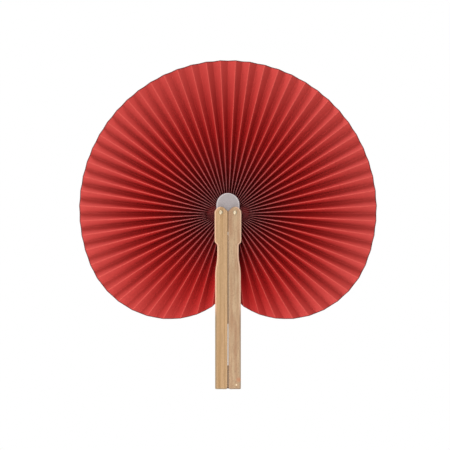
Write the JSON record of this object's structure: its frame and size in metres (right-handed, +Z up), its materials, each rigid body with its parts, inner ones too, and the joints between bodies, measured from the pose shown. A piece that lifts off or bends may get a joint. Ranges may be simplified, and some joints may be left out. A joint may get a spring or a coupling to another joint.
{
  "type": "folding hand fan",
  "caption": "Round pleated paper hand fan: a red leaf opens around a small hub between two hinged wooden arms that fold together as its handle or box in the closed leaf",
  "frame": {"origin": "middle of the arms' lower end, at the bottom of the open fan", "axes": "+Z up along the arms to the top of the leaf, +X to the right seen from the front, -Y out of the front"},
  "size_m": [0.23, 0.0174, 0.2538],
  "materials": {
    "leaf_paper": "matte dyed paper",
    "arm_wood": "sanded, unvarnished",
    "core_wood": "sanded, unvarnished",
    "hub_plate": "satin",
    "rivet_brass": "polished"
  },
  "bodies": {
    "hub": {"front_hub_plate": "hub_plate", "back_hub_plate": "hub_plate", "left_rivet": "rivet_brass", "right_rivet": "rivet_brass", "left_bushing": "rivet_brass", "right_bushing": "rivet_brass"},
    "left_arm": {"left_front_scale": "arm_wood", "left_back_scale": "arm_wood", "left_web": "core_wood", "left_end_block": "core_wood"},
    "right_arm": {"right_front_scale": "arm_wood", "right_back_scale": "arm_wood", "right_web": "core_wood", "right_end_block": "core_wood"},
    "left_pleats_01_body": {"left_pleats_01": "leaf_paper"},
    "left_pleats_02_body": {"left_pleats_02": "leaf_paper"},
    "left_pleats_03_body": {"left_pleats_03": "leaf_paper"},
    "left_pleats_04_body": {"left_pleats_04": "leaf_paper"},
    "left_pleats_05_body": {"left_pleats_05": "leaf_paper"},
    "left_pleats_06_body": {"left_pleats_06": "leaf_paper"},
    "left_pleats_07_body": {"left_pleats_07": "leaf_paper"},
    "left_pleats_08_body": {"left_pleats_08": "leaf_paper"},
    "left_pleats_09_body": {"left_pleats_09": "leaf_paper"},
    "left_pleats_10_body": {"left_pleats_10": "leaf_paper"},
    "left_pleats_11_body": {"left_pleats_11": "leaf_paper"},
    "left_pleats_12_body": {"left_pleats_12": "leaf_paper"},
    "left_pleats_13_body": {"left_pleats_13": "leaf_paper"},
    "left_pleats_14_body": {"left_pleats_14": "leaf_paper"},
    "left_pleats_15_body": {"left_pleats_15": "leaf_paper"},
    "right_pleats_01_body": {"right_pleats_01": "leaf_paper"},
    "right_pleats_02_body": {"right_pleats_02": "leaf_paper"},
    "right_pleats_03_body": {"right_pleats_03": "leaf_paper"},
    "right_pleats_04_body": {"right_pleats_04": "leaf_paper"},
    "right_pleats_05_body": {"right_pleats_05": "leaf_paper"},
    "right_pleats_06_body": {"right_pleats_06": "leaf_paper"},
    "right_pleats_07_body": {"right_pleats_07": "leaf_paper"},
    "right_pleats_08_body": {"right_pleats_08": "leaf_paper"},
    "right_pleats_09_body": {"right_pleats_09": "leaf_paper"},
    "right_pleats_10_body": {"right_pleats_10": "leaf_paper"},
    "right_pleats_11_body": {"right_pleats_11": "leaf_paper"},
    "right_pleats_12_body": {"right_pleats_12": "leaf_paper"},
    "right_pleats_13_body": {"right_pleats_13": "leaf_paper"},
    "right_pleats_14_body": {"right_pleats_14": "leaf_paper"},
    "right_pleats_15_body": {"right_pleats_15": "leaf_paper"}
  },
  "joints": [
    {"name": "left_arm_turn", "type": "hinge", "parent": "hub", "child": "left_arm", "pos_m": [-0.00546, 0, 0.1361], "axis": [0, 1, 0], "range_deg": [0, 180]},
    {"name": "right_arm_turn", "type": "hinge", "parent": "hub", "child": "right_arm", "pos_m": [0.00546, 0, 0.1361], "axis": [0, -1, 0], "range_deg": [0, 180]},
    {"name": "left_pleats_01_fold", "type": "hinge", "parent": "hub", "child": "left_pleats_01_body", "pos_m": [-0.0008, 0, 0.13714], "axis": [0, 1, 0], "range_deg": [0, 2.74], "deforming": ["left_pleats_01"]},
    {"name": "left_pleats_02_fold", "type": "hinge", "parent": "hub", "child": "left_pleats_02_body", "pos_m": [-0.00011, 0, 0.13719], "axis": [0, 1, 0], "range_deg": [0, 10.99], "deforming": ["left_pleats_02"]},
    {"name": "left_pleats_03_fold", "type": "hinge", "parent": "hub", "child": "left_pleats_03_body", "pos_m": [0.00059, 0, 0.13737], "axis": [0, 1, 0], "range_deg": [0, 22], "deforming": ["left_pleats_03"]},
    {"name": "left_pleats_04_fold", "type": "hinge", "parent": "hub", "child": "left_pleats_04_body", "pos_m": [0.00094, 0, 0.13763], "axis": [0, 1, 0], "range_deg": [0, 33.05], "deforming": ["left_pleats_04"]},
    {"name": "left_pleats_05_fold", "type": "hinge", "parent": "hub", "child": "left_pleats_05_body", "pos_m": [0.00095, 0, 0.13788], "axis": [0, 1, 0], "range_deg": [0, 44.13], "deforming": ["left_pleats_05"]},
    {"name": "left_pleats_06_fold", "type": "hinge", "parent": "hub", "child": "left_pleats_06_body", "pos_m": [0.0009, 0, 0.13816], "axis": [0, 1, 0], "range_deg": [0, 55.28], "deforming": ["left_pleats_06"]},
    {"name": "left_pleats_07_fold", "type": "hinge", "parent": "hub", "child": "left_pleats_07_body", "pos_m": [0.00061, 0, 0.13835], "axis": [0, 1, 0], "range_deg": [0, 66.51], "deforming": ["left_pleats_07"]},
    {"name": "left_pleats_08_fold", "type": "hinge", "parent": "hub", "child": "left_pleats_08_body", "pos_m": [0.00017, 0, 0.13844], "axis": [0, 1, 0], "range_deg": [0, 77.84], "deforming": ["left_pleats_08"]},
    {"name": "left_pleats_09_fold", "type": "hinge", "parent": "hub", "child": "left_pleats_09_body", "pos_m": [-0.00062, 0, 0.13862], "axis": [0, 1, 0], "range_deg": [0, 89.54], "deforming": ["left_pleats_09"]},
    {"name": "left_pleats_10_fold", "type": "hinge", "parent": "hub", "child": "left_pleats_10_body", "pos_m": [-0.00171, 0, 0.13891], "axis": [0, 1, 0], "range_deg": [0, 101.73], "deforming": ["left_pleats_10"]},
    {"name": "left_pleats_11_fold", "type": "hinge", "parent": "hub", "child": "left_pleats_11_body", "pos_m": [-0.00277, 0, 0.13908], "axis": [0, 1, 0], "range_deg": [0, 114.22], "deforming": ["left_pleats_11"]},
    {"name": "left_pleats_12_fold", "type": "hinge", "parent": "hub", "child": "left_pleats_12_body", "pos_m": [-0.00361, 0, 0.13892], "axis": [0, 1, 0], "range_deg": [0, 126.86], "deforming": ["left_pleats_12"]},
    {"name": "left_pleats_13_fold", "type": "hinge", "parent": "hub", "child": "left_pleats_13_body", "pos_m": [-0.0041, 0, 0.13829], "axis": [0, 1, 0], "range_deg": [0, 139.62], "deforming": ["left_pleats_13"]},
    {"name": "left_pleats_14_fold", "type": "hinge", "parent": "hub", "child": "left_pleats_14_body", "pos_m": [-0.00434, 0, 0.13734], "axis": [0, 1, 0], "range_deg": [0, 152.93], "deforming": ["left_pleats_14"]},
    {"name": "left_pleats_15_fold", "type": "hinge", "parent": "hub", "child": "left_pleats_15_body", "pos_m": [-0.00521, 0, 0.13669], "axis": [0, 1, 0], "range_deg": [0, 168.52], "deforming": ["left_pleats_15"]},
    {"name": "right_pleats_01_fold", "type": "hinge", "parent": "hub", "child": "right_pleats_01_body", "pos_m": [0.0008, 0, 0.13714], "axis": [0, -1, 0], "range_deg": [0, 2.74], "deforming": ["right_pleats_01"]},
    {"name": "right_pleats_02_fold", "type": "hinge", "parent": "hub", "child": "right_pleats_02_body", "pos_m": [0.00011, 0, 0.13719], "axis": [0, -1, 0], "range_deg": [0, 10.99], "deforming": ["right_pleats_02"]},
    {"name": "right_pleats_03_fold", "type": "hinge", "parent": "hub", "child": "right_pleats_03_body", "pos_m": [-0.00059, 0, 0.13737], "axis": [0, -1, 0], "range_deg": [0, 22], "deforming": ["right_pleats_03"]},
    {"name": "right_pleats_04_fold", "type": "hinge", "parent": "hub", "child": "right_pleats_04_body", "pos_m": [-0.00094, 0, 0.13763], "axis": [0, -1, 0], "range_deg": [0, 33.05], "deforming": ["right_pleats_04"]},
    {"name": "right_pleats_05_fold", "type": "hinge", "parent": "hub", "child": "right_pleats_05_body", "pos_m": [-0.00095, 0, 0.13788], "axis": [0, -1, 0], "range_deg": [0, 44.13], "deforming": ["right_pleats_05"]},
    {"name": "right_pleats_06_fold", "type": "hinge", "parent": "hub", "child": "right_pleats_06_body", "pos_m": [-0.0009, 0, 0.13816], "axis": [0, -1, 0], "range_deg": [0, 55.28], "deforming": ["right_pleats_06"]},
    {"name": "right_pleats_07_fold", "type": "hinge", "parent": "hub", "child": "right_pleats_07_body", "pos_m": [-0.00061, 0, 0.13835], "axis": [0, -1, 0], "range_deg": [0, 66.51], "deforming": ["right_pleats_07"]},
    {"name": "right_pleats_08_fold", "type": "hinge", "parent": "hub", "child": "right_pleats_08_body", "pos_m": [-0.00017, 0, 0.13844], "axis": [0, -1, 0], "range_deg": [0, 77.84], "deforming": ["right_pleats_08"]},
    {"name": "right_pleats_09_fold", "type": "hinge", "parent": "hub", "child": "right_pleats_09_body", "pos_m": [0.00062, 0, 0.13862], "axis": [0, -1, 0], "range_deg": [0, 89.54], "deforming": ["right_pleats_09"]},
    {"name": "right_pleats_10_fold", "type": "hinge", "parent": "hub", "child": "right_pleats_10_body", "pos_m": [0.00171, 0, 0.13891], "axis": [0, -1, 0], "range_deg": [0, 101.73], "deforming": ["right_pleats_10"]},
    {"name": "right_pleats_11_fold", "type": "hinge", "parent": "hub", "child": "right_pleats_11_body", "pos_m": [0.00277, 0, 0.13908], "axis": [0, -1, 0], "range_deg": [0, 114.22], "deforming": ["right_pleats_11"]},
    {"name": "right_pleats_12_fold", "type": "hinge", "parent": "hub", "child": "right_pleats_12_body", "pos_m": [0.00361, 0, 0.13892], "axis": [0, -1, 0], "range_deg": [0, 126.86], "deforming": ["right_pleats_12"]},
    {"name": "right_pleats_13_fold", "type": "hinge", "parent": "hub", "child": "right_pleats_13_body", "pos_m": [0.0041, 0, 0.13829], "axis": [0, -1, 0], "range_deg": [0, 139.62], "deforming": ["right_pleats_13"]},
    {"name": "right_pleats_14_fold", "type": "hinge", "parent": "hub", "child": "right_pleats_14_body", "pos_m": [0.00434, 0, 0.13734], "axis": [0, -1, 0], "range_deg": [0, 152.93], "deforming": ["right_pleats_14"]},
    {"name": "right_pleats_15_fold", "type": "hinge", "parent": "hub", "child": "right_pleats_15_body", "pos_m": [0.00521, 0, 0.13669], "axis": [0, -1, 0], "range_deg": [0, 168.52], "deforming": ["right_pleats_15"]}
  ],
  "couplings": [
    {"joint": "left_pleats_01_fold", "follows": "left_arm_turn", "ratio": 0.015222},
    {"joint": "left_pleats_02_fold", "follows": "left_arm_turn", "ratio": 0.061055},
    {"joint": "left_pleats_03_fold", "follows": "left_arm_turn", "ratio": 0.12222},
    {"joint": "left_pleats_04_fold", "follows": "left_arm_turn", "ratio": 0.18361},
    {"joint": "left_pleats_05_fold", "follows": "left_arm_turn", "ratio": 0.24517},
    {"joint": "left_pleats_06_fold", "follows": "left_arm_turn", "ratio": 0.30711},
    {"joint": "left_pleats_07_fold", "follows": "left_arm_turn", "ratio": 0.3695},
    {"joint": "left_pleats_08_fold", "follows": "left_arm_turn", "ratio": 0.43244},
    {"joint": "left_pleats_09_fold", "follows": "left_arm_turn", "ratio": 0.49744},
    {"joint": "left_pleats_10_fold", "follows": "left_arm_turn", "ratio": 0.56517},
    {"joint": "left_pleats_11_fold", "follows": "left_arm_turn", "ratio": 0.63456},
    {"joint": "left_pleats_12_fold", "follows": "left_arm_turn", "ratio": 0.70478},
    {"joint": "left_pleats_13_fold", "follows": "left_arm_turn", "ratio": 0.77567},
    {"joint": "left_pleats_14_fold", "follows": "left_arm_turn", "ratio": 0.84961},
    {"joint": "left_pleats_15_fold", "follows": "left_arm_turn", "ratio": 0.93622},
    {"joint": "right_pleats_01_fold", "follows": "right_arm_turn", "ratio": 0.015222},
    {"joint": "right_pleats_02_fold", "follows": "right_arm_turn", "ratio": 0.061055},
    {"joint": "right_pleats_03_fold", "follows": "right_arm_turn", "ratio": 0.12222},
    {"joint": "right_pleats_04_fold", "follows": "right_arm_turn", "ratio": 0.18361},
    {"joint": "right_pleats_05_fold", "follows": "right_arm_turn", "ratio": 0.24517},
    {"joint": "right_pleats_06_fold", "follows": "right_arm_turn", "ratio": 0.30711},
    {"joint": "right_pleats_07_fold", "follows": "right_arm_turn", "ratio": 0.3695},
    {"joint": "right_pleats_08_fold", "follows": "right_arm_turn", "ratio": 0.43244},
    {"joint": "right_pleats_09_fold", "follows": "right_arm_turn", "ratio": 0.49744},
    {"joint": "right_pleats_10_fold", "follows": "right_arm_turn", "ratio": 0.56517},
    {"joint": "right_pleats_11_fold", "follows": "right_arm_turn", "ratio": 0.63456},
    {"joint": "right_pleats_12_fold", "follows": "right_arm_turn", "ratio": 0.70478},
    {"joint": "right_pleats_13_fold", "follows": "right_arm_turn", "ratio": 0.77567},
    {"joint": "right_pleats_14_fold", "follows": "right_arm_turn", "ratio": 0.84961},
    {"joint": "right_pleats_15_fold", "follows": "right_arm_turn", "ratio": 0.93622}
  ]
}
